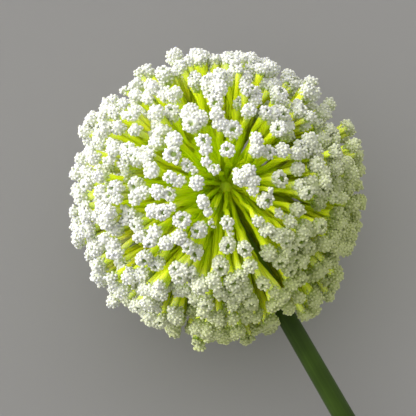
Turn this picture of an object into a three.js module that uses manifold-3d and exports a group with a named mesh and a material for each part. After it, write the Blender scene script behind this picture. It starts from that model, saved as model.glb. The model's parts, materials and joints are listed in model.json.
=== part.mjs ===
// Giant allium flower head, cut with a short length of its stem and laid on a surface.
//
// Millimetres, +Z up. The origin is on the surface, straight below the middle of the head,
// where its lowest floret rests. +X runs from the head towards the cut end of the stem.
//
// The stem is one plain tapering stalk. The head is one growth: a receptacle at the top of
// the stem, a flower stalk for each floret, and a floret at the end of each. A floret is a
// six-sided trumpet with a knobbly rim round a hollow, a little larger than life, because the
// living head has more of them.

import * as THREE from "three";
import { mergeVertices } from "three/addons/utils/BufferGeometryUtils.js";
import Module from "manifold-3d";

// The head
const SEED = 20517;
const HEAD_RADIUS = 60; // from the middle of the head to the rims of the longest florets
const REST_HEIGHT = 57.5; // the middle of the head above the surface; the lowest rims press flat
const FLORET_COUNT = 250;
const GOLDEN_ANGLE = Math.PI * (3 - Math.sqrt(5));

// The receptacle
const HUB_RADIUS = 7.5;
const HUB_SIDES = 10;
const HUB_BANDS = 6;
const HUB_SEAT_RADIUS = 4; // its flat seat on the stem
const ROOT_CLEAR_ANGLE = THREE.MathUtils.degToRad(50); // no flower stalk starts nearer the stem
const ROOT_DEPTH = 1; // how far a flower stalk's pointed root is sunk into the receptacle
const COLLAR_HEIGHT = 0.5; // where the stalk leaves the receptacle at its full thickness

// One floret; lengths are measured back from the tip of its rim
const SHORTEST_REACH = 0.92; // of HEAD_RADIUS
const COLLAR_RADIUS = 0.48;
const STALK_RADIUS = 0.78;
const TRUMPET_LENGTH = 17;
const CAP_RADIUS_LEAST = 3.7;
const CAP_RADIUS_MOST = 4.5;
const SHOULDER_DEPTH = 3.8; // the widest part of the cap
const RIM_SHARE = 0.74; // the rim's radius, as a share of the cap's
const KNOB_DROP = 0.9; // every second knob of the rim is this much lower
const HOLLOW_DEPTH = 2.3;
const WANDER = 2.9; // how far a floret may stray sideways from its even place
const BEARING_ANGLE = THREE.MathUtils.degToRad(22); // the florets that carry the head

// The stem; stations are distances from the middle of the head
const STEM_LENGTH = 175;
const STEM_SIDES = 14;
const STEM_GAP = 0.3; // between the stem's top and the receptacle's seat
const STEM_RADIUS_TOP = 3.0;
const STEM_RADIUS_AT_HEAD_EDGE = 3.3;
const STEM_RADIUS_CUT = 4.6;
const STEM_CLEARANCE = 0.6; // between the stem and the florets beside it

// The stem slopes down until one flat side of its cut end touches the surface.
const cutFlatRadius = STEM_RADIUS_CUT * Math.cos(Math.PI / STEM_SIDES);
const stemSlope =
  Math.asin(REST_HEIGHT / Math.hypot(STEM_LENGTH, cutFlatRadius))
  - Math.atan2(cutFlatRadius, STEM_LENGTH);
const stemDirection = new THREE.Vector3(Math.cos(stemSlope), 0, -Math.sin(stemSlope));
const hubSeatStation = Math.sqrt(HUB_RADIUS ** 2 - HUB_SEAT_RADIUS ** 2);

const wasm = await Module();
wasm.setup();

// A repeatable stream of numbers from 0 to 1.
function randomStream(seed) {
  let state = seed;
  return () => {
    state = (Math.imul(state, 1664525) + 1013904223) >>> 0;
    return state / 4294967296;
  };
}

// A lathe geometry whose axis runs along the stem, with one of its sides facing down. Its
// profile is [radius, station] pairs.
function turnedAlongStem(profile, sides) {
  const points = profile.map(([radius, station]) => new THREE.Vector2(radius, station));
  const geometry = new THREE.LatheGeometry(points, sides, Math.PI / sides);
  const level = new THREE.Vector3(0, 1, 0);
  const below = new THREE.Vector3().crossVectors(level, stemDirection);
  return geometry.applyMatrix4(new THREE.Matrix4().makeBasis(level, stemDirection, below));
}

function toSolid(geometry) {
  const bare = geometry.clone();
  bare.deleteAttribute("normal");
  bare.deleteAttribute("uv");
  const merged = mergeVertices(bare, 1e-4);
  return new wasm.Manifold(new wasm.Mesh({
    numProp: 3,
    vertProperties: new Float32Array(merged.attributes.position.array),
    triVerts: new Uint32Array(merged.index.array),
  }));
}

function toGeometry(solid) {
  const mesh = solid.getMesh();
  const geometry = new THREE.BufferGeometry();
  geometry.setAttribute("position", new THREE.BufferAttribute(mesh.vertProperties, 3));
  geometry.setIndex(new THREE.BufferAttribute(mesh.triVerts, 1));
  return geometry;
}

// Two directions square to an axis and to each other.
function crossDirections(axis) {
  const helper = Math.abs(axis.z) < 0.9 ? new THREE.Vector3(0, 0, 1) : new THREE.Vector3(1, 0, 0);
  const across = new THREE.Vector3().crossVectors(helper, axis).normalize();
  const up = new THREE.Vector3().crossVectors(axis, across);
  return [across, up];
}

// The even places of the florets: a spiral of golden-angle steps from straight down to
// straight up. The first hangs straight down, so the head has a foot under its middle.
function evenDirection(index) {
  const down = index === 0 ? 1 : 1 - (2 * index + 1) / FLORET_COUNT;
  const around = index * GOLDEN_ANGLE;
  const level = Math.sqrt(1 - down * down);
  return new THREE.Vector3(level * Math.cos(around), level * Math.sin(around), -down);
}

// A direction at a new angle from the stem, on the same side of it as before.
function atAngleFromStem(direction, angle) {
  const along = direction.dot(stemDirection);
  const aside = direction.clone().addScaledVector(stemDirection, -along).normalize();
  return aside.multiplyScalar(Math.sin(angle)).addScaledVector(stemDirection, Math.cos(angle));
}

// Where each floret points, how far it reaches, how wide it is and how it is turned.
function planFlorets() {
  const random = randomStream(SEED);
  const nearestToStem = Math.asin(
    (STEM_RADIUS_AT_HEAD_EDGE + CAP_RADIUS_MOST + STEM_CLEARANCE) / (HEAD_RADIUS * SHORTEST_REACH)
  );
  const florets = [];
  for (let index = 0; index < FLORET_COUNT; index += 1) {
    const even = evenDirection(index);
    const [across, up] = crossDirections(even);
    const strayAround = random() * 2 * Math.PI;
    const stray = index === 0 ? 0 : Math.sqrt(random()) * WANDER / HEAD_RADIUS;
    const direction = even.clone()
      .addScaledVector(across, stray * Math.cos(strayAround))
      .addScaledVector(up, stray * Math.sin(strayAround))
      .normalize();
    const bears = -direction.z > Math.cos(BEARING_ANGLE);
    const reachDraw = random();
    const reach = HEAD_RADIUS * (bears ? 1 : SHORTEST_REACH + (1 - SHORTEST_REACH) * reachDraw);
    const capRadius = CAP_RADIUS_LEAST + (CAP_RADIUS_MOST - CAP_RADIUS_LEAST) * random();
    const twist = random() * 2 * Math.PI;
    const fromStem = direction.angleTo(stemDirection);
    const tipDirection = fromStem < nearestToStem
      ? atAngleFromStem(direction, nearestToStem)
      : direction;
    florets.push({ tipDirection, reach, capRadius, twist });
  }
  return florets;
}

// Flower stalks that point back along the stem start beside it, not under it. All roots
// spread evenly over what is left of the receptacle.
function rootDirection(tipDirection) {
  const spread = (1 + Math.cos(ROOT_CLEAR_ANGLE)) / 2;
  const cosine = (1 + tipDirection.dot(stemDirection)) * spread - 1;
  return atAngleFromStem(tipDirection, Math.acos(THREE.MathUtils.clamp(cosine, -1, 1)));
}

// A ring of points round an axis.
function ring(centre, across, up, radii, drops, axis, twist) {
  return radii.map((radius, index) => {
    const angle = twist + index * 2 * Math.PI / radii.length;
    return centre.clone()
      .addScaledVector(across, radius * Math.cos(angle))
      .addScaledVector(up, radius * Math.sin(angle))
      .addScaledVector(axis, -drops[index]);
  });
}

// One floret on its stalk, as a closed skin: a three-sided stalk with a pointed root opens
// into a six-sided trumpet, whose knobbly rim turns in to a hollow.
function floretGeometry({ tipDirection, reach, capRadius, twist }) {
  const rootOutward = rootDirection(tipDirection);
  const root = rootOutward.clone().multiplyScalar(HUB_RADIUS - ROOT_DEPTH);
  const collar = rootOutward.clone().multiplyScalar(HUB_RADIUS + COLLAR_HEIGHT);
  const tip = tipDirection.clone().multiplyScalar(reach);
  const axis = tip.clone().sub(collar).normalize();
  const [across, up] = crossDirections(axis);
  const back = (distance) => tip.clone().addScaledVector(axis, -distance);
  const three = (value) => Array(3).fill(value);
  const six = (value) => Array(6).fill(value);
  const knobs = [0, 1, 2, 3, 4, 5].map((index) => index % 2);
  const shoulderRadii = knobs.map((low) => capRadius * (low ? 0.88 : 1));
  const rimRadii = knobs.map((low) => capRadius * RIM_SHARE * (low ? 1.08 : 1));
  const rimDrops = knobs.map((low) => KNOB_DROP * low);

  const collarRing = ring(collar, across, up, three(COLLAR_RADIUS), three(0), axis, twist);
  const neckRing = ring(
    back(TRUMPET_LENGTH), across, up, three(STALK_RADIUS), three(0), axis, twist
  );
  const shoulderRing = ring(back(SHOULDER_DEPTH), across, up, shoulderRadii, six(0), axis, twist);
  const rimRing = ring(tip, across, up, rimRadii, rimDrops, axis, twist);
  const hollow = back(HOLLOW_DEPTH);
  const points = [root, hollow, ...collarRing, ...neckRing, ...shoulderRing, ...rimRing];

  const [rootAt, hollowAt, collarAt, neckAt, shoulderAt, rimAt] = [0, 1, 2, 5, 8, 14];
  const faces = [];
  for (let side = 0; side < 3; side += 1) {
    const next = (side + 1) % 3;
    const left = shoulderAt + 2 * side;
    const middle = left + 1;
    const right = shoulderAt + (2 * side + 2) % 6;
    faces.push([rootAt, collarAt + next, collarAt + side]);
    faces.push([collarAt + side, collarAt + next, neckAt + next]);
    faces.push([collarAt + side, neckAt + next, neckAt + side]);
    faces.push([neckAt + side, middle, left]);
    faces.push([neckAt + side, neckAt + next, middle]);
    faces.push([neckAt + next, right, middle]);
  }
  for (let side = 0; side < 6; side += 1) {
    const next = (side + 1) % 6;
    faces.push([shoulderAt + side, shoulderAt + next, rimAt + next]);
    faces.push([shoulderAt + side, rimAt + next, rimAt + side]);
    faces.push([rimAt + side, rimAt + next, hollowAt]);
  }

  const geometry = new THREE.BufferGeometry().setFromPoints(points);
  geometry.setIndex(faces.flat());
  return geometry;
}

// The rounded top of the stem that all the flower stalks grow from, with a flat seat.
function receptacleGeometry() {
  const seatAngle = Math.acos(hubSeatStation / HUB_RADIUS);
  const profile = [[0, -HUB_RADIUS]];
  for (let band = 1; band <= HUB_BANDS; band += 1) {
    const angle = Math.PI - (Math.PI - seatAngle) * band / HUB_BANDS;
    profile.push([HUB_RADIUS * Math.sin(angle), HUB_RADIUS * Math.cos(angle)]);
  }
  profile.push([0, hubSeatStation]);
  return turnedAlongStem(profile, HUB_SIDES);
}

// All the florets joined to the receptacle, with the lowest rims pressed flat on the surface.
function makeFlowerHead() {
  const florets = planFlorets().map((floret) => toSolid(floretGeometry(floret)));
  const whole = florets.reduce((sum, floret) => sum.add(floret), toSolid(receptacleGeometry()));
  const roomSize = 4 * HEAD_RADIUS;
  const aboveSurface = new THREE.BoxGeometry(roomSize, roomSize, roomSize);
  aboveSurface.translate(0, 0, roomSize / 2 - REST_HEIGHT);
  return toGeometry(whole.intersect(toSolid(aboveSurface)));
}

// One tapering stalk from the receptacle's seat to the cut.
function makeStem() {
  const top = hubSeatStation + STEM_GAP;
  return turnedAlongStem([
    [0, top],
    [STEM_RADIUS_TOP, top],
    [STEM_RADIUS_AT_HEAD_EDGE, HEAD_RADIUS],
    [STEM_RADIUS_CUT, STEM_LENGTH],
    [0, STEM_LENGTH],
  ], STEM_SIDES);
}

const flowerHead = new THREE.Mesh(
  makeFlowerHead(),
  new THREE.MeshStandardMaterial({ color: 0xdfe6b8, roughness: 0.75, metalness: 0 })
);
flowerHead.name = "flower_head";

const stem = new THREE.Mesh(
  makeStem(),
  new THREE.MeshStandardMaterial({ color: 0x33421a, roughness: 0.45, metalness: 0 })
);
stem.name = "stem";

// Both hang from the middle of the head.
const flower = new THREE.Group();
flower.position.set(0, 0, REST_HEIGHT);
flower.add(flowerHead, stem);

const part = new THREE.Group();
part.add(flower);

export default part;
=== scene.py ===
"""The looks of a giant allium flower head that lies on a surface with its cut stem."""

import json
import math
from collections import namedtuple

import bpy
from bpy.props import FloatProperty, FloatVectorProperty, IntProperty, PointerProperty
from mathutils import Matrix, Vector

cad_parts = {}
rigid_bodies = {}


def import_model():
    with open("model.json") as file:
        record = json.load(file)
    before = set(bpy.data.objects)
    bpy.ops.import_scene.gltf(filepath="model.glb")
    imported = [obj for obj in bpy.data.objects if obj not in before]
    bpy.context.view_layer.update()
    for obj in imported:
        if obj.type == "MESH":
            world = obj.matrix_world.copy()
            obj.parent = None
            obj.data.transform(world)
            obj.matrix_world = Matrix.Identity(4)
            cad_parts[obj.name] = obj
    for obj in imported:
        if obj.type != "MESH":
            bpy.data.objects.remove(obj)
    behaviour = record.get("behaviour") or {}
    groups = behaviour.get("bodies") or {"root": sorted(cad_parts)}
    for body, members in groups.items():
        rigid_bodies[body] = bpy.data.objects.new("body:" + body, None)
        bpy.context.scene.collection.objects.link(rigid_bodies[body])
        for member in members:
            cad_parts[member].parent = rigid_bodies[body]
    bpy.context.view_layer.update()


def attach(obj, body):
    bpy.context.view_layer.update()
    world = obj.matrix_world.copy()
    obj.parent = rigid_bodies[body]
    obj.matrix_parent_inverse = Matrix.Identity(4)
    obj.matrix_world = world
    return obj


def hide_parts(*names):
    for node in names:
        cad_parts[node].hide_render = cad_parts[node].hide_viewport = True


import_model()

bl_info = {
    "name": "Giant Allium Flower",
    "version": (1, 0, 0),
    "blender": (4, 5, 0),
    "location": "View3D > Sidebar > Allium",
    "description": "Grows a globe of beaded florets on lime stalks, with its cut stem",
    "category": "Add Mesh",
}

MM = 0.001
BODY = "root"

CAMERA_DISTANCE = 0.60
STEM_SLANT = math.radians(60.1)  # the stem runs this far below the level, to the right
# Directions, along the camera's right, its up and towards it
TO_LIGHT = (-0.82, 0.41, 0.40)
TO_SHADE = (0.72, -0.66, -0.20)  # the beads are painted greener towards it, as painted shade

# Places in the picture, in its pixels
PICTURE_SIZE = 416
HEAD_AT = (218, 198)  # the middle of the head
HEAD_DISC_RADIUS = 158
HUB_AT = (226, 189)  # where the flower stalks meet
# Where the florets part and show the stem: across, down and radius
GAPS = ((256, 251, 4), (263, 263, 6), (272, 274, 7), (281, 284, 5))
GAP_MARGIN = 5
# Circles that the spiral's front florets keep out of, and the lobes that the photo shows one by one
# in and beside them: across, down, radius, how far sunk into the globe in millimetres, and hollow
SEEN_ZONES = ((222, 190, 80), (279, 294, 24))
SEEN_LOBES = (
    (173, 141, 9, 0, 0.3), (171, 155, 9, 0, 0.8), (175, 164, 4, 1, 0), (189, 113, 9, 1, 0),
    (191, 125, 10, 0, 0.5), (199, 119, 9, 1, 0), (216, 115, 8, 0, 0.3), (219, 124, 8, 2, 0),
    (232, 131, 10, 3, 0.8), (203, 142, 8, 0, 0.8), (205, 151, 7, 1, 0), (226, 151, 8, 0, 1),
    (205, 163, 6, 1, 0), (213, 170, 7, 1, 0.8), (150, 171, 9, 1, 0.3), (169, 178, 8, 0, 0.9),
    (178, 182, 8, 2, 0), (186, 166, 7, 4, 0.8), (193, 172, 5, 5, 0), (196, 184, 9, 0, 0),
    (156, 193, 8, 0, 0), (168, 195, 8, 2, 0.8), (152, 212, 8, 0, 0), (162, 213, 9, 0, 0.9),
    (171, 208, 5, 1, 0), (202, 203, 8, 0, 0), (207, 213, 6, 1, 0), (181, 221, 9, 1, 0.7),
    (209, 223, 4, 4, 0), (214, 210, 2, 4, 0), (213, 228, 3, 5, 0), (226, 224, 8, 0, 0.7),
    (241, 179, 9, 0, 0), (247, 173, 8, 0, 0), (251, 182, 9, 0, 0), (235, 173, 5, 2, 0),
    (252, 191, 7, 1, 0), (255, 141, 8, 0, 0), (256, 151, 9, 1, 0), (268, 153, 8, 3, 0.6),
    (282, 151, 8, 1, 0), (279, 180, 10, 3, 0.9), (264, 201, 9, 0, 0.9), (270, 191, 4, 0, 0),
    (297, 170, 8, 5, 0), (295, 154, 7, 1, 0), (300, 186, 9, 2, 0.6), (257, 222, 6, 1, 0),
    (266, 231, 8, 0, 0), (276, 236, 8, 1, 0), (286, 236, 8, 2, 0.3), (278, 214, 6, 2, 0),
    (289, 222, 8, 2, 0), (297, 211, 9, 3, 0.5), (244, 250, 9, 0, 0.8), (249, 267, 9, 0, 0.3),
    (227, 246, 9, 4, 0.7), (229, 235, 4, 4, 0), (220, 267, 10, 4, 0.7), (198, 231, 9, 4, 0.7),
    (195, 254, 9, 4, 0.8), (178, 238, 9, 1, 0), (187, 248, 8, 1, 0.7), (165, 244, 9, 1, 0),
    (268, 254, 9, 4, 0), (262, 285, 8, 2, 0.9), (282, 298, 9, 2, 0.9), (273, 293, 6, 3, 0),
    (291, 285, 8, 4, 0), (273, 306, 8, 2, 0.5), (288, 308, 8, 3, 0), (298, 298, 8, 3, 0.3),
    (279, 262, 9, 3, 0.9), (290, 250, 9, 2, 0.8), (288, 270, 9, 4, 0.7), (301, 236, 9, 3, 0.8),
    (302, 262, 9, 3, 0.9), (300, 279, 9, 4, 0.7), (307, 248, 8, 4, 0.9), (240, 276, 8, 3, 0.9),
    (231, 283, 9, 2, 0.9), (213, 283, 9, 1, 0.3), (245, 291, 8, 4, 0.6), (250, 303, 9, 3, 0.8),
)
# More of them outside those circles, where stalks would otherwise show bare
FILLING_LOBES = (
    (206, 304, 9, 2, 0.8), (220, 295, 8, 3, 0.9), (212, 318, 7, 3, 0), (232, 320, 7, 3, 0.2),
    (248, 112, 8, 1, 0.4), (265, 113, 8, 1, 0.5), (98, 177, 8, 2, 0), (99, 192, 8, 2, 0.3),
    (123, 104, 7, 2, 0), (202, 313, 7, 2, 0.6),
)


def a_length(name, description, millimetres):
    """A length, shown in the scene's own unit."""
    return FloatProperty(
        name=name, description=description, default=millimetres * MM, unit="LENGTH"
    )


def an_angle(name, description, degrees):
    """An angle, given in degrees."""
    return FloatProperty(
        name=name, description=description, default=math.radians(degrees), subtype="ANGLE"
    )


def a_share(name, description, default):
    """A share of a whole."""
    return FloatProperty(name=name, description=description, default=default, subtype="FACTOR")


def a_colour(name, description, default):
    """A colour, given as red, green and blue."""
    return FloatVectorProperty(name=name, description=description, default=default, subtype="COLOR")


class HeadSizes(bpy.types.PropertyGroup):
    """Sizes of the flower head; down to the bearing angle they are those of the solid."""

    seed: IntProperty(name="Seed", description="Start of the placing draws", default=20517)
    site_count: IntProperty(
        name="Floret groups", description="Groups of florets on the head", default=250
    )
    radius: a_length("Head radius", "Middle of the head to the longest florets", 60)
    height: a_length("Height", "Middle of the head above the surface", 57.5)
    shortest_reach: a_share("Shortest reach", "Of the head's radius, for the shortest group", 0.92)
    wander: a_length("Wander", "How far a group strays from its even place", 2.9)
    bearing_angle: an_angle(
        "Bearing angle", "Round straight down, the groups that carry the head", 22
    )
    hub_radius: a_length("Receptacle radius", "Of the knob that all the stalks grow from", 7.0)
    root_clear_angle: an_angle("Root clearance", "No stalk starts nearer to the stem than this", 50)
    front_clear_angle: an_angle(
        "Front clearance", "No stalk starts nearer to the receptacle's front", 24
    )


class FloretSizes(bpy.types.PropertyGroup):
    """Sizes of one floret, of its lobes and of the beads that crust them."""

    least_radius: a_length("Least lobe radius", "Of the smallest lobes of a floret of three", 2.0)
    most_radius: a_length("Most lobe radius", "Of the largest lobes, each a whole floret", 3.4)
    depth: a_length("Depth", "How far inside the globe the deepest florets end", 12)
    bead_radius: a_length("Bead radius", "Of a usual bead", 0.59)
    bead_spacing: a_length("Bead spacing", "Least distance between two beads", 1.02)
    lumps: a_share("Lumps", "How far the crust swells and sinks, of the floret's radius", 0.28)
    stalk_radius: a_length("Stalk radius", "Of the thin part of a flower stalk", 0.80)
    stalk_bow: a_length("Stalk bow", "How far a stalk bends from a straight line", 2.4)


class StemSizes(bpy.types.PropertyGroup):
    """Sizes of the stem; its stations are distances from the middle of the head."""

    length: a_length("Length", "Middle of the head to the cut", 175)
    top_radius: a_length("Top radius", "Where the stem meets the receptacle", 3.4)
    edge_radius: a_length("Edge radius", "Where the stem leaves the head", 3.8)
    cut_radius: a_length("Cut radius", "At the cut end", 4.48)
    # Between these stations the skin is painted lighter towards the head, as painted light
    pale_station: a_length("Pale station", "Nearer than this the skin is at its palest", 20)
    dark_station: a_length("Dark station", "Further than this the skin is all dark", 54)


class Finishes(bpy.types.PropertyGroup):
    """Colours of the flower."""

    bead_white: a_colour("Bead white", "The outermost beads", (0.92, 0.93, 0.87))
    bead_green: a_colour("Bead green", "The beads low on a floret", (0.52, 0.66, 0.08))
    # Painted shade: the bare bottom of a floret's hollow is painted this darker green
    hollow_green: a_colour("Hollow green", "The bottom of a floret's hollow", (0.30, 0.44, 0.008))
    # Painted shade: the beads on the side turned from the light are painted this greener colour
    bead_shade_green: a_colour(
        "Shade green bead", "The beads on the side that turns from the light", (0.72, 0.78, 0.37)
    )
    # Painted light: the stalks' roots and the receptacle are painted this lighter lime, against the
    # shade near the receptacle
    lime_root_lightened: a_colour("Deep lime", "The stalks at their roots", (0.73, 0.95, 0.003))
    lime: a_colour("Lime", "The stalks halfway out", (0.60, 0.79, 0.003))
    lime_bright: a_colour("Bright lime", "The trumpets", (0.63, 0.75, 0.016))
    lime_pale: a_colour("Pale lime", "The trumpets' mouths", (0.46, 0.53, 0.12))
    # Painted shade: the end of a stalk, deep in a hollow, is painted this dark colour
    stalk_end_shade: a_colour("Stalk end", "Of a stalk, at the bottom of a hollow", (0.11, 0.17, 0.010))
    stem_dark: a_colour("Dark stem", "The stem's skin", (0.030, 0.062, 0.003))
    # Painted light: inside the head the stem's skin is painted this lighter green
    stem_inside_lightened: a_colour("Stem top", "The stem's skin inside the head", (0.24, 0.38, 0.008))
    stem_light: a_colour("Light stem", "The stem's paler streaks", (0.050, 0.100, 0.006))
    flesh_pale: a_colour("Pale flesh", "The flesh in the middle of the cut", (0.62, 0.68, 0.42))
    cut_green: a_colour("Green flesh", "The flesh near the rim of the cut", (0.42, 0.52, 0.20))
    strand_green: a_colour("Strands", "The strands in the flesh of the cut", (0.20, 0.30, 0.06))


class StageSizes(bpy.types.PropertyGroup):
    """The floor's colour and the strengths of the lights."""

    floor_colour: a_colour("Floor", "The pale floor", (0.520, 0.508, 0.494))
    key_power: FloatProperty(
        name="Key power", description="Of the soft light from the left, in watts", default=9.4
    )
    glow_power: FloatProperty(
        name="Glow power", description="Of the light that reaches the stalks through the florets",
        default=13.8,
    )
    fill_strength: FloatProperty(
        name="Fill", description="Strength of the light from all round", default=0.55
    )


def math_node(operation, reflected=False):
    """A method that adds a Math node to a wire, which comes second where it is reflected."""

    def method(wire, other=None):
        terms = [wire] if other is None else [wire, other]
        if reflected:
            terms.reverse()
        return wire.board.node("ShaderNodeMath", {"operation": operation}, dict(enumerate(terms)))

    return method


class Wire:
    """An output of a node tree that sums can be written with."""

    def __init__(self, board, socket):
        self.board = board
        self.socket = socket

    def out(self, name):
        """Another output of the same node."""
        return Wire(self.board, self.socket.node.outputs[name])

    __add__ = math_node("ADD")
    __radd__ = math_node("ADD", reflected=True)
    __sub__ = math_node("SUBTRACT")
    __rsub__ = math_node("SUBTRACT", reflected=True)
    __mul__ = math_node("MULTIPLY")
    __rmul__ = math_node("MULTIPLY", reflected=True)
    __truediv__ = math_node("DIVIDE")
    __gt__ = math_node("GREATER_THAN")
    __lt__ = math_node("LESS_THAN")
    sine = math_node("SINE")
    at_least = math_node("MAXIMUM")
    at_most = math_node("MINIMUM")


class Board:
    """A node tree that is being wired."""

    def __init__(self, tree):
        self.tree = tree

    def node(self, kind, settings=None, values=None):
        """Adds any node: its settings first, then the values or wires of its sockets."""
        made = self.tree.nodes.new(kind)
        for name, value in (settings or {}).items():
            if name == "stops":
                set_stops(made.color_ramp, value)
            elif name == "points":
                set_points(made.mapping, value)
            else:
                setattr(made, name, value)
        live = [socket for socket in made.inputs if socket.enabled]
        for key, value in (values or {}).items():
            if isinstance(key, int):
                socket = live[key]
            else:
                socket = next(found for found in live if found.name == key)
            for item in value if isinstance(value, list) else [value]:
                if isinstance(item, Wire):
                    self.tree.links.new(item.socket, socket)
                else:
                    socket.default_value = item
        outputs = [socket for socket in made.outputs if socket.enabled]
        return Wire(self, outputs[0]) if outputs else None

    def vector(self, operation, *terms):
        return self.node("ShaderNodeVectorMath", {"operation": operation}, dict(enumerate(terms)))

    def measure(self, operation, *terms):
        """What a sum of vectors gives as a number."""
        return self.vector(operation, *terms).out("Value")

    def scaled(self, vector, by):
        return self.node(
            "ShaderNodeVectorMath", {"operation": "SCALE"}, {"Vector": vector, "Scale": by}
        )

    def blend(self, share, first, second, mode="MIX"):
        """A mix of two colours, each a wire or red, green and blue."""
        values = {"Factor": share, "A": first, "B": second}
        for name in "AB":
            if not isinstance(values[name], Wire):
                values[name] = opaque(values[name])
        return self.node("ShaderNodeMix", {"data_type": "RGBA", "blend_type": mode}, values)

    def smooth(self, value, low, high):
        """Rises smoothly from 0 at one value to 1 at another, which may be the lower one."""
        return self.node(
            "ShaderNodeMapRange", {"interpolation_type": "SMOOTHSTEP"},
            {"Value": value, "From Min": low, "From Max": high},
        )

    def noise(self, vector, scale, detail=2.0, roughness=0.5):
        return self.node(
            "ShaderNodeTexNoise", None,
            {"Vector": vector, "Scale": scale, "Detail": detail, "Roughness": roughness},
        )


def set_stops(ramp, stops):
    """Gives a colour ramp its stops, each a place and a colour."""
    while len(ramp.elements) < len(stops):
        ramp.elements.new(1.0)
    for element, (place, colour) in zip(ramp.elements, stops):
        element.position = place
        element.color = opaque(colour)


def set_points(mapping, points):
    """Gives a curve its points."""
    curve = mapping.curves[0]
    while len(curve.points) < len(points):
        curve.points.new(0.5, 0.5)
    for point, (x, y) in zip(curve.points, points):
        point.location = (x, y)
    mapping.update()


def opaque(colour):
    return (*colour, 1.0)


# Placing the florets

ROOT_DEPTH = 0.8 * MM  # how deep a stalk's root sits in the receptacle
STEM_CLEARANCE = 0.3 * MM  # between a lobe and the stem
# A stalk in steps from its root, and the first of those where it would cover a gap
STALK_STEPS = 20
OUTER_STEP = 9
# How far along a whole stalk the florets of a group part, and the lobes of a floret
GROUP_FORK = 0.42
LOBE_FORK = 0.66
# Draws up to these give one floret or lobe, two, and so on
FLORET_COUNTS = (0.02, 0.20, 0.50, 0.84)
LOBE_COUNTS = (0.48, 0.84)
LEAST_SIZES = (0.50, 0.22, 0.0)  # of a single lobe, and of one of two and of three
SIZE_SPAN = 0.50
BUD_SHARE = 0.05  # of the florets
BUD_SIZE = 0.75  # of the lobe that it would be
# In millimetres: a group's extent, and how far lobes lie apart, each with a draw on top
GROUP_EXTENT = 5.8
LOBES_APART = 1.75
LOBES_FURTHER = 0.6
LOBE_SUNK = 1.3 * MM  # the most that one of several lobes ends short of the others
DEPTH_BIAS = 1.3  # above 1, more florets end near the surface of the globe
MOST_OFF_MIDDLE = 0.32


def number_stream(seed):
    """A repeatable stream of numbers from 0 to 1, by the rule that placed the solid's florets."""
    state = seed
    while True:
        state = (state * 1664525 + 1013904223) % 2**32
        yield state / 2**32


def stem_direction(head, stem):
    """Down from the head to the cut end, which lies on the surface."""
    slope = math.asin(head.height / math.hypot(stem.length, stem.cut_radius)) - math.atan2(
        stem.cut_radius, stem.length
    )
    return Vector((math.cos(slope), 0, -math.sin(slope)))


def cross_directions(axis):
    """Two directions square to an axis and to each other."""
    nearly_upright = 0.9
    helper = Vector((0, 0, 1)) if abs(axis.z) < nearly_upright else Vector((1, 0, 0))
    across = helper.cross(axis).normalized()
    return across, axis.cross(across)


def on_circle(radius, angle):
    return radius * math.cos(angle), radius * math.sin(angle)


def spiral_turn(index):
    """How far round a point of a spiral lies, for points that are spread evenly."""
    return index * math.pi * (3 - math.sqrt(5))


def even_direction(index, count):
    """The even place of a floret group, on a spiral from straight down to straight up."""
    down = 1 if index == 0 else 1 - (2 * index + 1) / count
    around = spiral_turn(index)
    level = math.sqrt(1 - down * down)
    return Vector((*on_circle(level, around), -down))


def at_angle(direction, axis, angle):
    """A direction at a new angle from an axis, on the same side of it as before."""
    aside = (direction - axis * direction.dot(axis)).normalized()
    return aside * math.sin(angle) + axis * math.cos(angle)


def plan_sites(head):
    """Where each floret group points and how far it reaches, as in the solid."""
    draw = number_stream(head.seed)
    sites = []
    for index in range(head.site_count):
        even = even_direction(index, head.site_count)
        across, up = cross_directions(even)
        around = next(draw) * 2 * math.pi
        stray = 0 if index == 0 else math.sqrt(next(draw)) * head.wander / head.radius
        stray_across, stray_up = on_circle(stray, around)
        direction = (even + across * stray_across + up * stray_up).normalized()
        bears = -direction.z > math.cos(head.bearing_angle)
        reach_draw = next(draw)
        share = 1 if bears else head.shortest_reach + (1 - head.shortest_reach) * reach_draw
        # The solid draws the width and the turn of a floret here
        next(draw)
        next(draw)
        sites.append((direction, head.radius * share))
    return sites


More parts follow.
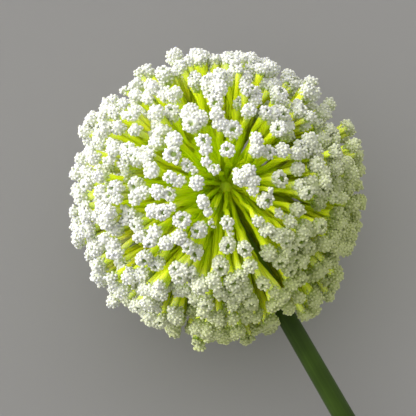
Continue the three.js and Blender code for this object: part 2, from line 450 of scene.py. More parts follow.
class View:
    """The camera's axes, and where a point of the flower shows in the picture."""

    def __init__(self, head, stem):
        to_cut = stem_direction(head, stem)
        self.centre = Vector((0, 0, head.height))
        self.toward = Vector((-to_cut.z, 0, to_cut.x))
        sideways = self.toward.cross(to_cut)
        self.right = to_cut * math.cos(STEM_SLANT) + sideways * math.sin(STEM_SLANT)
        self.up = self.toward.cross(self.right)
        self.scale = HEAD_DISC_RADIUS / math.tan(math.asin(head.radius / CAMERA_DISTANCE))
        across = HUB_AT[0] - HEAD_AT[0]
        down = HUB_AT[1] - HEAD_AT[1]
        self.hub = (self.right * across - self.up * down) * (CAMERA_DISTANCE / self.scale)

    def direction(self, shares):
        """A direction given along the camera's right, its up and towards it."""
        across, up, toward = shares
        return (self.right * across + self.up * up + self.toward * toward).normalized()

    def pixel(self, from_middle):
        """The place in the picture of a point given from the middle of the head."""
        size = self.scale / (CAMERA_DISTANCE - from_middle.dot(self.toward))
        return (
            HEAD_AT[0] + size * from_middle.dot(self.right),
            HEAD_AT[1] - size * from_middle.dot(self.up),
        )

    def behind(self, across, down, distance):
        """What shows at a place in the picture, that far from the middle of the head."""
        ray = self.right * ((across - HEAD_AT[0]) / self.scale) - self.toward
        ray -= self.up * ((down - HEAD_AT[1]) / self.scale)
        camera = self.toward * CAMERA_DISTANCE
        halfway = -camera.dot(ray) / ray.length_squared
        beyond = (camera.length_squared - distance**2) / ray.length_squared
        return camera + ray * (halfway - math.sqrt(halfway**2 - beyond))

    def near(self, point, places, margin=0):
        """Whether a point shows within one of the circles of the picture."""
        x, y = self.pixel(point)
        return any(
            math.hypot(x - across, y - down) < radius + margin for across, down, radius in places
        )

    def crosses_gap(self, root, tip):
        """Whether a stalk would cover a gap on its outer half."""
        steps = range(OUTER_STEP, STALK_STEPS + 1)
        return any(self.near(root.lerp(tip, step / STALK_STEPS), GAPS) for step in steps)

    def takes(self, root, tip):
        """Whether a floret stands in front and would fill a gap or a seen zone."""
        if tip.dot(self.toward) < 0:
            return False
        covers = self.near(tip, SEEN_ZONES) or self.near(tip, GAPS, GAP_MARGIN)
        return covers or self.crosses_gap(root, tip)


# Starting is how far along a whole flower stalk the lobe's own stalk starts
Lobe = namedtuple("Lobe", "middle start starting axis lobe_radius hollow tone mouth")


def side_by_side(count, apart, turn):
    """Places round a spot, that far from it; a single one is on it."""
    if count == 1:
        return [(0.0, 0.0)]
    step = 2 * math.pi / count
    return [on_circle(apart, turn + index * step) for index in range(count)]


def strewn(count, extent, turn):
    """Places spread evenly over a round cell, the first in its middle."""
    return [
        on_circle(extent * math.sqrt(index / count), turn + spiral_turn(index))
        for index in range(count)
    ]


def pick(share, shares):
    """How many, for a draw and the shares of draws that give one, two and so on."""
    return 1 + sum(share > limit for limit in shares)


def off_middle(draw):
    """How far a lobe's hollow lies off its middle, of the lobe's radius."""
    apart = MOST_OFF_MIDDLE * next(draw)
    around = next(draw) * 2 * math.pi
    return (*on_circle(apart, around), 0.0)


def hollow_of(gape):
    """How hollow a lobe is for a draw: six in ten are deep, the others shallow."""
    return 0.8 + 0.2 * gape if gape < 0.6 else 0.3 * gape


def plan_floret(draw, floret, shorter):
    """The lobes of one floret: places beside its middle, radius, depth and hollow of each."""
    bud = next(draw) < BUD_SHARE
    count = 1 if bud else pick(next(draw), LOBE_COUNTS)
    apart = (LOBES_APART + LOBES_FURTHER * next(draw)) * MM
    lobes = []
    for place in side_by_side(count, apart, next(draw) * 2 * math.pi):
        size = SIZE_SPAN * next(draw) + LEAST_SIZES[count - 1]
        radius = floret.least_radius + (floret.most_radius - floret.least_radius) * size
        sunk = LOBE_SUNK * next(draw) if count > 1 else 0
        hollow = hollow_of(next(draw))
        lobes.append((place, BUD_SIZE * radius if bud else radius, shorter + sunk, hollow))
    return lobes


def root_of(direction, head, stem, view):
    """Where a stalk leaves the receptacle, clear of its front and of the stem."""
    frontal = direction.angle(view.toward)
    if frontal < math.pi / 2:
        frontal = head.front_clear_angle + frontal * (1 - head.front_clear_angle * 2 / math.pi)
        direction = at_angle(direction, view.toward, frontal)
    to_cut = stem_direction(head, stem)
    spread = (1 + math.cos(head.root_clear_angle)) / 2
    root_cosine = (1 + direction.dot(to_cut)) * spread - 1
    aside = at_angle(direction, to_cut, math.acos(root_cosine))
    return view.hub + aside * (head.hub_radius - ROOT_DEPTH)


def lobe_on_stalk(view, middle, start, starting, radius, hollow, tone, draw):
    """A lobe whose middle and stalk are given from the middle of the head."""
    return Lobe(
        middle=view.centre + middle,
        start=view.centre + start,
        starting=starting,
        axis=(middle - start).normalized(),
        lobe_radius=radius,
        hollow=hollow,
        tone=tone,
        mouth=off_middle(draw),
    )


def plan_placed(places, head, stem, view, draw):
    """Lobes given one by one by their place in the picture, most on a stalk of their own."""
    planned = []
    fork = None
    for across, down, wide, sunk, hollow in places:
        radius = wide * (CAMERA_DISTANCE - head.radius) / view.scale
        middle = view.behind(across, down, head.radius - radius - sunk * MM)
        start, starting = root_of(middle.normalized(), head, stem, view), 0
        if view.crosses_gap(start, middle):
            start, starting = fork, LOBE_FORK
        else:
            fork = start.lerp(middle, LOBE_FORK)
        planned.append(
            lobe_on_stalk(view, middle, start, starting, radius, hollow, next(draw), draw)
        )
    return planned


def clear_middle(place, distance, radius, head, stem):
    """Where a lobe's middle lies towards a place, clear of the stem and above the surface."""
    outward = place.normalized()
    to_cut = stem_direction(head, stem)
    beside = math.asin((stem.edge_radius + radius + STEM_CLEARANCE) / distance)
    if outward.angle(to_cut) < beside:
        outward = at_angle(outward, to_cut, beside)
    if outward.z < 0:
        distance = min(distance, (head.height - radius) / -outward.z)
    return outward * distance


def plan_lobes(head, floret, stem):
    """Every lobe of every floret: each group has one to five florets of one to three lobes."""
    draw = number_stream(head.seed + 1)
    view = View(head, stem)
    planned = plan_placed(SEEN_LOBES, head, stem, view, draw)
    for direction, reach in plan_sites(head):
        across, up = cross_directions(direction)
        root = root_of(direction, head, stem, view)
        places = strewn(
            pick(next(draw), FLORET_COUNTS),
            (GROUP_EXTENT + next(draw)) * MM, next(draw) * 2 * math.pi,
        )
        group_start, group_starting = root, 0
        for index, (group_across, group_up) in enumerate(places):
            shorter = next(draw) ** DEPTH_BIAS * floret.depth if index else 0
            tone = next(draw)
            middles = []
            lobes = plan_floret(draw, floret, shorter)
            for (lobe_across, lobe_up), radius, sunk, _ in lobes:
                place = direction * reach + across * (group_across + lobe_across)
                place += up * (group_up + lobe_up)
                middles.append(clear_middle(place, reach - radius - sunk, radius, head, stem))
            if any(view.takes(root, middle) for middle in middles):
                continue
            start, starting = group_start, group_starting
            if group_starting == 0:
                group_start = root.lerp(middles[0], GROUP_FORK)
                group_starting = GROUP_FORK
            for middle, (_, radius, _, hollow) in zip(middles, lobes):
                planned.append(
                    lobe_on_stalk(view, middle, start, starting, radius, hollow, tone, draw)
                )
                if starting < LOBE_FORK:
                    start = start.lerp(middle, (LOBE_FORK - starting) / (1 - starting))
                    starting = LOBE_FORK
    filling = number_stream(head.seed + 2)
    return planned + plan_placed(FILLING_LOBES, head, stem, view, filling)


# Geometry node trees

INPUT_KINDS = {"Geometry": "Geometry", "Material": "Material", "Sides": "Int", "Seed": "Int"}
VECTOR_NAMES = ("axis", "mouth", "local")
# How wide a stalk is along its length, from the radius of its thin part to that of its mouth
STALK_FLARE = (
    (0.0, 0.50), (0.10, 0.20), (0.26, 0.03), (0.50, 0.0), (0.72, 0.14), (0.85, 0.42),
    (0.95, 0.85), (1.0, 0.90),
)
MOUTH_WIDTH = 0.62  # of the lobe
STALK_STEP = 4.0 * MM
STALK_SIDES = 7
CROWN_MESH = {"Segments": 10, "Rings": 9}
BEAD_MESH = {"Segments": 6, "Rings": 4}
BEAD_DENSITY = 3.0e6  # a square metre, before the spacing thins them out
STEM_RINGS = 96
STEM_SIDES = 40


def kind_of(name):
    """What an attribute of that name holds."""
    return "FLOAT_VECTOR" if name in VECTOR_NAMES else "FLOAT"


class Growth(Board):
    """A geometry node tree with named inputs."""

    def __init__(self, name):
        super().__init__(bpy.data.node_groups.new(name, "GeometryNodeTree"))
        self.tree.interface.new_socket(
            name="Geometry", in_out="OUTPUT", socket_type="NodeSocketGeometry"
        )
        self.entry = self.tree.nodes.new("NodeGroupInput")
        self.exit = self.tree.nodes.new("NodeGroupOutput")

    def inputs(self, *names):
        """Adds the tree's inputs, which are plain numbers unless they have a kind."""
        for name in names:
            self.tree.interface.new_socket(
                name=name, in_out="INPUT", socket_type="NodeSocket" + INPUT_KINDS.get(name, "Float")
            )
        return [Wire(self, self.entry.outputs[name]) for name in names]

    def attribute(self, name):
        return self.node(
            "GeometryNodeInputNamedAttribute", {"data_type": kind_of(name)}, {"Name": name}
        )

    def store(self, geometry, name, value):
        return self.node(
            "GeometryNodeStoreNamedAttribute", {"data_type": kind_of(name), "domain": "POINT"},
            {"Geometry": geometry, "Name": name, "Value": value},
        )

    def position(self):
        return self.node("GeometryNodeInputPosition")

    def parted(self, vector):
        """A vector's X, with its Y and Z as the node's other outputs."""
        return self.node("ShaderNodeSeparateXYZ", None, {"Vector": vector})

    def moved(self, geometry, x, y, z):
        place = self.node("ShaderNodeCombineXYZ", None, {"X": x, "Y": y, "Z": z})
        return self.node("GeometryNodeSetPosition", None, {"Geometry": geometry, "Position": place})

    def shifted(self, geometry, offset):
        return self.node("GeometryNodeSetPosition", None, {"Geometry": geometry, "Offset": offset})

    def bulged(self, geometry, amount):
        """Moves a surface that far along its normals."""
        normal = self.node("GeometryNodeInputNormal")
        return self.shifted(geometry, self.scaled(normal, amount))

    def pressed(self, geometry):
        """Presses what would sink into the surface flat on it."""
        x = self.parted(self.position())
        return self.moved(geometry, x, x.out("Y"), x.out("Z").at_least(0.0))

    def random(self, low, high, seed):
        kind = "FLOAT_VECTOR" if isinstance(low, tuple) else "FLOAT"
        return self.node(
            "FunctionNodeRandomValue", {"data_type": kind}, {"Min": low, "Max": high, "Seed": seed}
        )

    def planted(self, points, shape, values=None):
        """A copy of a shape on each point, made plain mesh."""
        copies = self.node(
            "GeometryNodeInstanceOnPoints", None,
            {"Points": points, "Instance": shape, **(values or {})},
        )
        return self.node("GeometryNodeRealizeInstances", None, {"Geometry": copies})

    def swept(self, curves, sides, radius):
        """Round closed tubes along curves."""
        section = self.node(
            "GeometryNodeCurvePrimitiveCircle", None, {"Resolution": sides, "Radius": 1.0}
        )
        return self.node(
            "GeometryNodeCurveToMesh", None,
            {"Curve": curves, "Profile Curve": section, "Scale": radius, "Fill Caps": True},
        )

    def finish(self, geometry, material):
        """Ends the tree in plain smooth mesh of one material."""
        plain = self.node("GeometryNodeRealizeInstances", None, {"Geometry": geometry})
        soft = self.node("GeometryNodeSetShadeSmooth", None, {"Geometry": plain})
        done = self.node("GeometryNodeSetMaterial", None, {"Geometry": soft, "Material": material})
        self.tree.links.new(done.socket, self.exit.inputs[0])
        return self.tree


def stalk_tree():
    """Turns each edge, from root to floret, into a stalk that opens into a trumpet."""
    board = Growth("Flower stalks")
    lines, step, sides, stalk_radius, bow, material = board.inputs(
        "Geometry", "Step", "Sides", "Stalk radius", "Bow", "Material"
    )
    lobe_radius = board.attribute("lobe_radius")

    curves = board.node("GeometryNodeMeshToCurve", None, {"Mesh": lines})
    curves = board.node(
        "GeometryNodeResampleCurve", {"mode": "LENGTH"}, {"Curve": curves, "Length": step}
    )
    starting = board.attribute("starting")
    along = starting + (1.0 - starting) * board.node("GeometryNodeSplineParameter")
    drift = board.noise(board.position(), scale=65.0, detail=1.0).out("Color")
    drift = board.vector("SUBTRACT", drift, (0.5, 0.5, 0.5))
    curves = board.shifted(curves, board.scaled(drift, (along * math.pi).sine() * bow * 2))
    curves = board.store(curves, "along", along)
    flare = board.node("ShaderNodeFloatCurve", {"points": STALK_FLARE}, {"Value": along})
    radius = stalk_radius + (lobe_radius * MOUTH_WIDTH - stalk_radius) * flare
    tubes = board.swept(curves, sides, radius)
    ripple = board.noise(board.position(), scale=420.0, detail=1.0) - 0.5
    tubes = board.bulged(tubes, ripple * lobe_radius * board.attribute("along") * 0.30)
    return board.finish(board.pressed(tubes), material)


def floret_tree():
    """Puts a lumpy, hollowed crown on each point and crusts it with beads."""
    board = Growth("Beaded florets")
    points, seed, bead_radius, bead_spacing, lumps, material = board.inputs(
        "Geometry", "Seed", "Bead radius", "Bead spacing", "Lumps", "Material"
    )
    axis = board.attribute("axis")
    lobe_radius = board.attribute("lobe_radius")
    hollow = board.attribute("hollow")

    # The crown: a ball that narrows downwards, as a turnip does
    ball = board.node("GeometryNodeMeshUVSphere", None, CROWN_MESH)
    ball = board.store(ball, "local", board.position())
    x = board.parted(board.position())
    below = x.out("Z").at_most(0.0)
    narrower = 1.0 + below * 0.40
    ball = board.moved(ball, x * narrower, x.out("Y") * narrower, x.out("Z") + below)
    turn = board.node("FunctionNodeAlignRotationToVector", {"axis": "Z"}, {"Vector": axis})
    uneven = board.random((0.86, 0.86, 0.90), (1.18, 1.18, 1.20), 11)
    crowns = board.planted(points, ball, {
        "Rotation": turn,
        "Scale": board.scaled(uneven, lobe_radius - bead_radius),
    })

    # Its hollow and its lumps
    local = board.attribute("local")
    height = board.parted(local).out("Z")
    from_mouth = board.vector("SUBTRACT", local, board.attribute("mouth"))
    out = board.measure("LENGTH", board.vector("MULTIPLY", from_mouth, (1.0, 1.0, 0.0)))
    dent = board.smooth(out, 0.58, 0.20) * (height > 0.0)
    crowns = board.shifted(crowns, board.scaled(axis, dent * hollow * lobe_radius * -1.4))
    lumpy = board.noise(board.position(), scale=330.0, detail=1.0) - 0.5
    crowns = board.bulged(crowns, lumpy * lumps * lobe_radius * 2)
    crowns = board.store(crowns, "blush", board.smooth(height, 0.0, -1.0) * 0.75)
    # Marks the bottom of the hollow, which is painted darker green as painted shade
    crowns = board.store(crowns, "pit", dent * hollow)
    # Painted shade: the crown that shows between the beads is painted darker and greener
    crowns = board.store(crowns, "grain", 1.0)

    # The beads, which leave the bottom of the hollow bare
    beads = board.node(
        "GeometryNodeDistributePointsOnFaces", {"distribute_method": "POISSON"},
        {"Mesh": crowns, "Distance Min": bead_spacing, "Density Max": BEAD_DENSITY,
         "Density Factor": board.smooth(height, -0.85, -0.35) * (0.15 > dent * hollow),
         "Seed": seed},
    )
    normal = beads.out("Normal")
    facing = beads.out("Rotation")
    beads = board.shifted(beads, board.scaled(normal, board.random(0.05, 0.5, 3) * bead_radius))
    # Each bead varies in tone at random
    beads = board.store(beads, "grain", board.random(0.0, 0.25, 5))
    bead = board.node("GeometryNodeMeshUVSphere", None, BEAD_MESH)
    size = board.random(0.84, 1.16, 7) * bead_radius
    shape = board.random((0.88, 0.88, 0.80), (1.12, 1.12, 1.10), 9)
    beads = board.planted(beads, bead, {"Rotation": facing, "Scale": board.scaled(shape, size)})
    both = board.node("GeometryNodeJoinGeometry", None, {"Geometry": [crowns, beads]})
    return board.finish(board.pressed(both), material)


def hub_tree():
    """Makes a small knob, lumpy where the stalks leave it, at each point."""
    board = Growth("Receptacle")
    points, radius, material = board.inputs("Geometry", "Radius", "Material")
    ball = board.node("GeometryNodeMeshIcoSphere", None, {"Radius": radius, "Subdivisions": 5})
    knob = board.planted(points, ball)
    lumpy = board.noise(board.position(), scale=480.0, detail=2.0) - 0.5
    knob = board.bulged(knob, lumpy * radius * 0.20)
    # The knob takes the roots' colour, painted lighter as painted light
    knob = board.store(knob, "along", 0.0)
    knob = board.store(knob, "tone", 0.0)
    return board.finish(knob, material)


def stem_tree():
    """Sweeps a round section along the stem's line, wider towards the cut."""
    board = Growth("Tapered stem")
    line, top_radius, edge_radius, edge_share, cut_radius, material = board.inputs(
        "Geometry", "Top radius", "Edge radius", "Edge share", "Cut radius", "Material"
    )
    curve = board.node("GeometryNodeMeshToCurve", None, {"Mesh": line})
    curve = board.node("GeometryNodeResampleCurve", None, {"Curve": curve, "Count": STEM_RINGS})
    along = board.node("GeometryNodeSplineParameter")
    to_edge = (along / edge_share).at_most(1.0)
    past_edge = ((along - edge_share) / (1.0 - edge_share)).at_least(0.0)
    radius = top_radius + (edge_radius - top_radius) * to_edge
    radius = radius + (cut_radius - edge_radius) * past_edge
    tube = board.swept(curve, STEM_SIDES, radius)
    return board.finish(board.pressed(tube), material)


def grow(name, tree, base, values):
    """The mesh that a node tree makes of a base mesh, as a plain piece of that name."""
    carrier = bpy.data.objects.new(name, base)
    bpy.context.scene.collection.objects.link(carrier)
    modifier = carrier.modifiers.new(name, "NODES")
    modifier.node_group = tree
    sockets = {
        item.name: item.identifier
        for item in tree.interface.items_tree
        if item.item_type == "SOCKET" and item.in_out == "INPUT"
    }
    for label, value in values.items():
        modifier[sockets[label]] = value
    graph = bpy.context.evaluated_depsgraph_get()
    plain = bpy.data.meshes.new_from_object(
        carrier.evaluated_get(graph), preserve_all_data_layers=True, depsgraph=graph
    )
    if not plain.polygons:
        raise RuntimeError(f"{name} grew no faces")
    carrier.modifiers.remove(modifier)
    carrier.data = plain
    plain.name = name
    bpy.data.meshes.remove(base)
    return carrier


def seat(piece, node):
    """Puts a finished piece on the body and hides the part of the solid that it stands for."""
    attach(piece, BODY)
    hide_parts(node)


# Materials


class Paint(Board):
    """A material whose shader's sockets are wired."""

    def __init__(self, name):
        material = bpy.data.materials.new(name)
        material.use_nodes = True
        super().__init__(material.node_tree)
        self.material = material
        self.shader = next(node for node in self.tree.nodes if node.type == "BSDF_PRINCIPLED")
        self.place = self.node("ShaderNodeTexCoord").out("Object")

    def attribute(self, name):
        return self.node("ShaderNodeAttribute", {"attribute_name": name}).out("Fac")

    def outward(self, centre):
        """The direction from the middle of the head, the same all along a stalk."""
        return self.vector("NORMALIZE", self.vector("SUBTRACT", self.place, centre))

    def shaded(self, colour, shade):
        """A colour made darker or lighter, as a grey would."""
        grey = self.node(
            "ShaderNodeCombineColor", None, {"Red": shade, "Green": shade, "Blue": shade}
        )
        return self.blend(1.0, colour, grey, "MULTIPLY")

    def bump(self, height, strength, distance):
        return self.node(
            "ShaderNodeBump", None,
            {"Height": height, "Strength": strength, "Distance": distance},
        )

    def finish(self, sockets):
        """Sets the shader's sockets to values or wires, and gives the material."""
        for name, value in sockets.items():
            if isinstance(value, Wire):
                self.tree.links.new(value.socket, self.shader.inputs[name])
            else:
                self.shader.inputs[name].default_value = value
        return self.material


def bead_paint(colours, view):
    """White waxy beads, greener low on a floret. Painted shade: the crown between the beads is
    painted darker and greener, the bottom of a hollow a darker green, and the side turned from the
    light greener.
    """
    paint = Paint("Floret beads")
    # Painted shade: the side of the head turned from the light is painted greener
    away = paint.measure("DOT_PRODUCT", paint.outward(view.centre), view.direction(TO_SHADE))
    skin = paint.blend(paint.smooth(away, -0.35, 0.70), colours.bead_white, colours.bead_shade_green)
    grain = paint.attribute("grain")
    patchy = paint.noise(paint.place, scale=260.0)
    # Painted shade, together with the beads' random tone: the crown between the beads comes out
    # greener and darker
    blush = paint.attribute("blush") + (patchy - 0.5) * 0.4 + grain * 0.30
    colour = paint.blend(paint.smooth(blush, 0.15, 1.0), skin, colours.bead_green)
    # Painted shade: the bottom of a hollow is painted darker green
    pit = paint.smooth(paint.attribute("pit"), 0.15, 0.60)
    colour = paint.blend(pit, colour, colours.hollow_green)
    mottle = paint.noise(paint.place, scale=1500.0, detail=3.0)
    return paint.finish({
        "Base Color": paint.shaded(colour, 0.95 + 0.08 * mottle - 0.08 * grain),
        "Roughness": 0.48 + 0.20 * mottle,
        "Specular IOR Level": 0.35,
        "Subsurface Weight": 0.35,
        "Subsurface Radius": (1.0, 1.0, 0.55),
        "Subsurface Scale": 0.8 * MM,
        "Normal": paint.bump(paint.noise(paint.place, scale=2600.0), 0.08, 0.10 * MM),
    })


def lime_paint(colours, centre):
    """Translucent lime skin, pale at the mouth, streaked lengthwise; painted lighter at the root as
    painted light, and painted darker near the root of some stalks and at a stalk's very end as
    painted shade.
    """
    paint = Paint("Lime stalks")
    along = paint.attribute("along")
    tone = paint.attribute("tone")
    streak = paint.noise(paint.outward(centre), scale=95.0, detail=3.0, roughness=0.6)
    # Painted light: the ramp starts from a lighter lime at the root
    colour = paint.node(
        "ShaderNodeValToRGB",
        {"stops": [(0.0, colours.lime_root_lightened), (0.42, colours.lime),
                   (0.84, colours.lime_bright), (0.98, colours.lime_pale)]},
        {"Fac": along + (streak - 0.5) * 0.10 + (tone - 0.5) * 0.10},
    )
    # The very end of a stalk shows only at the bottom of a hollow, where it is painted dark as
    # painted shade
    colour = paint.blend(paint.smooth(along, 0.955, 0.995), colour, colours.stalk_end_shade)
    # Painted shade: stalks of a low tone are painted a little darker near the root, as stalks in
    # the shade of others
    near_root = paint.smooth(along, 0.80, 0.30)
    shade = (0.92 + 0.16 * streak) * (1.0 - near_root * (1.0 - tone * tone) * 0.10)
    return paint.finish({
        "Base Color": paint.shaded(colour, shade),
        "Roughness": 0.40 + 0.16 * streak,
        "Specular IOR Level": 0.25,
        "Subsurface Weight": 0.75,
        "Subsurface Radius": (0.8, 1.0, 0.10),
        "Subsurface Scale": 5.0 * MM,
        "Normal": paint.bump(streak, 0.12, 0.15 * MM),
    })


def stem_paint(colours, stem, centre, direction):
    """Dark waxy stem skin with fine lengthwise streaks, painted lighter inside the head as painted
    light, and pale wet flesh at the cut.
    """
    paint = Paint("Green stem")
    from_middle = paint.vector("SUBTRACT", paint.place, centre)
    station = paint.measure("DOT_PRODUCT", from_middle, direction)
    aside = paint.vector("SUBTRACT", from_middle, paint.scaled(direction, station))
    lengthwise = paint.node("ShaderNodeCombineXYZ", None, {"X": station * 14.0})
    stretched = paint.vector("ADD", paint.scaled(aside, 900.0), lengthwise)
    streak = paint.noise(stretched, scale=1.0, detail=3.0, roughness=0.6)
    blotch = paint.noise(paint.place, scale=70.0, detail=3.0)
    streaky = paint.smooth(streak * 0.6 + blotch * 0.5, 0.42, 0.72)
    skin = paint.blend(streaky, colours.stem_dark, colours.stem_light)
    # Painted light: inside the head, where the stem lies in shade, its skin is painted lighter
    inside = paint.smooth(station, stem.dark_station, stem.pale_station)
    skin = paint.blend(inside, skin, colours.stem_inside_lightened)

    out = paint.measure("LENGTH", aside) / stem.cut_radius
    flesh = paint.blend(paint.smooth(out, 0.10, 0.92), colours.flesh_pale, colours.cut_green)
    strands = paint.node(
        "ShaderNodeTexVoronoi", {"feature": "F1"}, {"Vector": paint.place, "Scale": 1500.0}
    )
    dots = paint.smooth(strands, 0.30, 0.12) * paint.smooth(out, 0.45, 0.60)
    flesh = paint.blend(dots * 0.7, flesh, colours.strand_green)
    flesh = paint.blend(paint.smooth(out, 0.93, 0.99), flesh, colours.stem_light)
    at_cut = station > stem.length - 0.12 * MM
    return paint.finish({
        "Base Color": paint.blend(at_cut, skin, flesh),
        "Roughness": 0.40 + 0.16 * blotch,
        "Specular IOR Level": 0.18,
        "Sheen Weight": 0.10,
        "Sheen Roughness": 0.5,
        "Subsurface Weight": 0.12,
        "Subsurface Radius": (0.5, 1.0, 0.15),
        "Subsurface Scale": 1.5 * MM,
        "Normal": paint.bump(streak, 0.12, 0.12 * MM),
    })


def floor_paint(colour):
    """Plain pale matt floor with the faintest mottle."""
    paint = Paint("Floor")
    mottle = paint.noise(paint.place, scale=9.0)
    dimmer = tuple(part * 0.97 for part in colour)
    return paint.finish({
        "Base Color": paint.blend(mottle, colour, dimmer),
        "Roughness": 0.75 + 0.1 * mottle,
    })


# Pieces

BAND_EDGE = 1 / 3  # of an upright axis, between the middle band of florets and the others
FLOOR_HALF = 4.0
LIGHT_SIZE = 1.40
LIGHT_SPREAD = math.radians(120)
LIGHT_DISTANCE = 1.0
LIGHT_COLOUR = (1.0, 0.99, 0.96)
GLOW_TURN = 0.72  # how far the glow is turned from the key towards the camera
SKY_SLOPE = 0.35  # how much stronger than at its middle the light is at the picture's top


def sizes(*names):
    """The groups of sizes or colours of those names."""
    return [getattr(bpy.context.scene, "allium_" + name) for name in names]


def lobe_mesh(name, lobes, ends, fields):
    """A bare mesh with a point for each end of each lobe, which carries fields of the lobe."""
    mesh = bpy.data.meshes.new(name)
    points = [getattr(lobe, end) for lobe in lobes for end in ends]
    starts = range(0, len(points), 2) if len(ends) == 2 else []
    mesh.from_pydata(points, [(start, start + 1) for start in starts], [])
    for field in fields:
        values = [getattr(lobe, field) for lobe in lobes for _ in ends]
        data = mesh.attributes.new(field, kind_of(field), "POINT").data
        if field in VECTOR_NAMES:
            data.foreach_set("vector", [part for value in values for part in value])
        else:
            data.foreach_set("value", values)
    return mesh


class MakeStalks(bpy.types.Operator):
    """Grow a flower stalk from the receptacle to each floret"""

    bl_idname = "allium.make_stalks"
    bl_label = "Flower Stalks"

    def execute(self, context):
        head, floret, stem, colours = sizes("head", "floret", "stem", "finish")
        lobes = plan_lobes(head, floret, stem)
        fields = ("lobe_radius", "tone", "starting")
        base = lobe_mesh("stalk_lines", lobes, ("start", "middle"), fields)
        stalks = grow("flower_stalks", stalk_tree(), base, {
            "Step": STALK_STEP,
            "Sides": STALK_SIDES,
            "Stalk radius": floret.stalk_radius,
            "Bow": floret.stalk_bow,
            "Material": lime_paint(colours, View(head, stem).centre),
        })
        seat(stalks, "flower_head")
        return {"FINISHED"}


class MakeReceptacle(bpy.types.Operator):
    """Form the knob at the top of the stem that the flower stalks grow from"""

    bl_idname = "allium.make_receptacle"
    bl_label = "Receptacle"

    def execute(self, context):
        head, stem, colours = sizes("head", "stem", "finish")
        view = View(head, stem)
        base = bpy.data.meshes.new("hub_point")
        base.from_pydata([view.centre + view.hub], [], [])
        knob = grow("receptacle", hub_tree(), base, {
            "Radius": head.hub_radius,
            "Material": lime_paint(colours, view.centre),
        })
        seat(knob, "flower_head")
        return {"FINISHED"}


class MakeFlorets(bpy.types.Operator):
    """Grow the beaded florets, in twelve sectors of the globe"""

    bl_idname = "allium.make_florets"
    bl_label = "Beaded Florets"

    def execute(self, context):
        head, floret, stem, colours = sizes("head", "floret", "stem", "finish")
        material = bead_paint(colours, View(head, stem))
        tree = floret_tree()
        sectors = {}
        for lobe in plan_lobes(head, floret, stem):
            band = (lobe.axis.z > BAND_EDGE) + (lobe.axis.z > -BAND_EDGE)
            key = (band, lobe.axis.x > 0, lobe.axis.y > 0)
            sectors.setdefault(key, []).append(lobe)
        fields = ("axis", "lobe_radius", "hollow", "mouth")
        for number, key in enumerate(sorted(sectors), start=1):
            base = lobe_mesh("floret_points", sectors[key], ("middle",), fields)
            florets = grow(f"florets_{number}", tree, base, {
                "Seed": head.seed + number,
                "Bead radius": floret.bead_radius,
                "Bead spacing": floret.bead_spacing,
                "Lumps": floret.lumps,
                "Material": material,
            })
            seat(florets, "flower_head")
        return {"FINISHED"}


class MakeStem(bpy.types.Operator):
    """Sweep the stem from the receptacle to its cut end"""

    bl_idname = "allium.make_stem"
    bl_label = "Stem"

    def execute(self, context):
        head, stem, colours = sizes("head", "stem", "finish")
        direction = stem_direction(head, stem)
        centre = View(head, stem).centre
        top = head.hub_radius * 0.5
        ends = [centre + direction * station for station in (top, stem.length)]
        base = bpy.data.meshes.new("stem_line")
        base.from_pydata(ends, [(0, 1)], [])
        scape = grow("scape", stem_tree(), base, {
            "Top radius": stem.top_radius,
            "Edge radius": stem.edge_radius,
            "Edge share": (head.radius - top) / (stem.length - top),
            "Cut radius": stem.cut_radius,
            "Material": stem_paint(colours, stem, centre, direction),
        })
        seat(scape, "stem")
        return {"FINISHED"}


class MakeStage(bpy.types.Operator):
    """Lay the floor and place the camera"""

    bl_idname = "allium.make_stage"
    bl_label = "Floor and Camera"

    def execute(self, context):
        head, stem, stage = sizes("head", "stem", "stage")
        mesh = bpy.data.meshes.new("floor")
        turns = ((-1, -1), (1, -1), (1, 1), (-1, 1))
        corners = [(FLOOR_HALF * x, FLOOR_HALF * y, 0) for x, y in turns]
        mesh.from_pydata(corners, [], [(0, 1, 2, 3)])
        floor = bpy.data.objects.new("floor", mesh)
        mesh.materials.append(floor_paint(stage.floor_colour))
        context.scene.collection.objects.link(floor)

        view = View(head, stem)
        pixel = CAMERA_DISTANCE / view.scale
        target = view.centre - view.right * ((HEAD_AT[0] - PICTURE_SIZE / 2) * pixel)
        target += view.up * ((HEAD_AT[1] - PICTURE_SIZE / 2) * pixel)
        camera_data = bpy.data.cameras.new("camera")
        camera_data.angle = 2 * math.atan(PICTURE_SIZE / 2 / view.scale)
        camera = bpy.data.objects.new("camera", camera_data)
        context.scene.collection.objects.link(camera)
        facing = Matrix((view.right, view.up, view.toward)).transposed().to_4x4()
        facing.translation = target + view.toward * CAMERA_DISTANCE
        camera.matrix_world = facing
        context.scene.camera = camera
        return {"FINISHED"}


def linked(name, pieces, state):
    """A light's collection of the pieces that it takes in or leaves out."""
    collection = bpy.data.collections.new(name)
    for piece in pieces:
        collection.objects.link(piece)
    for link in collection.collection_objects:
        link.light_linking.link_state = state
    return collection


def add_light(name, direction, power, centre):
    """A large soft round light, aimed at the middle of the head."""
    data = bpy.data.lights.new(name, "AREA")
    data.shape = "DISK"
    data.size = LIGHT_SIZE
    data.spread = LIGHT_SPREAD
    data.energy = power
    data.color = LIGHT_COLOUR
    light = bpy.data.objects.new(name, data)
    bpy.context.scene.collection.objects.link(light)
    light.location = centre + direction * LIGHT_DISTANCE
    light.rotation_euler = direction.to_track_quat("Z", "Y").to_euler()
    return light


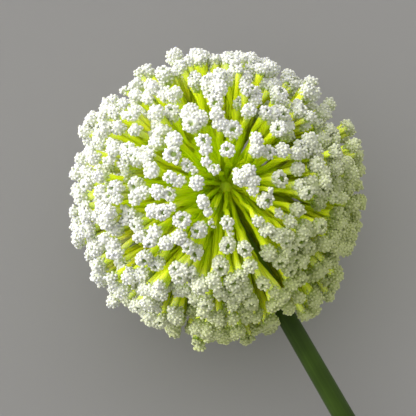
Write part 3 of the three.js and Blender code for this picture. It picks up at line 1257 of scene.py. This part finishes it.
class MakeLights(bpy.types.Operator):
    """Light the flower softly from the left and from all round"""

    bl_idname = "allium.make_lights"
    bl_label = "Lights"

    def execute(self, context):
        head, stem, stage = sizes("head", "stem", "stage")
        view = View(head, stem)
        shown = context.scene.objects
        growth = [shown["flower_stalks"], shown["receptacle"]]
        florets = [piece for piece in shown if piece.name.startswith("florets_")]
        to_light = view.direction(TO_LIGHT)
        key = add_light("key", to_light, stage.key_power, view.centre)
        unlit = linked("not_lit_by_key", [shown["floor"], *growth], "EXCLUDE")
        key.light_linking.receiver_collection = unlit
        # The glow stands for the light that thin florets let through to the stalks
        from_side = (to_light + view.toward * GLOW_TURN).normalized()
        glow = add_light("glow", from_side, stage.glow_power, view.centre)
        glow.light_linking.receiver_collection = linked("lit_by_glow", growth, "INCLUDE")
        glow.light_linking.blocker_collection = linked("passed_by_glow", florets, "EXCLUDE")

        world = bpy.data.worlds.new("Soft room")
        world.use_nodes = True
        sky = Board(world.node_tree)
        above = sky.measure("DOT_PRODUCT", sky.node("ShaderNodeTexCoord"), view.up)
        background = world.node_tree.nodes["Background"]
        background.inputs["Color"].default_value = (1.0, 1.0, 1.0, 1.0)
        strength = (1.0 + above * SKY_SLOPE) * stage.fill_strength
        world.node_tree.links.new(strength.socket, background.inputs["Strength"])
        context.scene.world = world
        context.scene.view_settings.view_transform = "Standard"
        return {"FINISHED"}


class AlliumPanel(bpy.types.Panel):
    """Buttons that build the flower, in order"""

    bl_idname = "ALLIUM_PT_flower"
    bl_label = "Giant Allium"
    bl_space_type = "VIEW_3D"
    bl_region_type = "UI"
    bl_category = "Allium"

    def draw(self, context):
        for maker in MAKERS:
            self.layout.operator(maker.bl_idname)


SETTINGS = {
    "allium_head": HeadSizes,
    "allium_floret": FloretSizes,
    "allium_stem": StemSizes,
    "allium_finish": Finishes,
    "allium_stage": StageSizes,
}
MAKERS = (MakeStage, MakeStem, MakeReceptacle, MakeStalks, MakeFlorets, MakeLights)


def register():
    for group in SETTINGS.values():
        bpy.utils.register_class(group)
    for name, group in SETTINGS.items():
        setattr(bpy.types.Scene, name, PointerProperty(type=group))
    for maker in MAKERS:
        bpy.utils.register_class(maker)
    bpy.utils.register_class(AlliumPanel)


def unregister():
    bpy.utils.unregister_class(AlliumPanel)
    for maker in reversed(MAKERS):
        bpy.utils.unregister_class(maker)
    for name in SETTINGS:
        delattr(bpy.types.Scene, name)
    for group in SETTINGS.values():
        bpy.utils.unregister_class(group)


def main():
    register()
    bpy.ops.allium.make_stage()
    bpy.ops.allium.make_stem()
    bpy.ops.allium.make_receptacle()
    bpy.ops.allium.make_stalks()
    bpy.ops.allium.make_florets()
    bpy.ops.allium.make_lights()


if __name__ == "__main__":
    main()
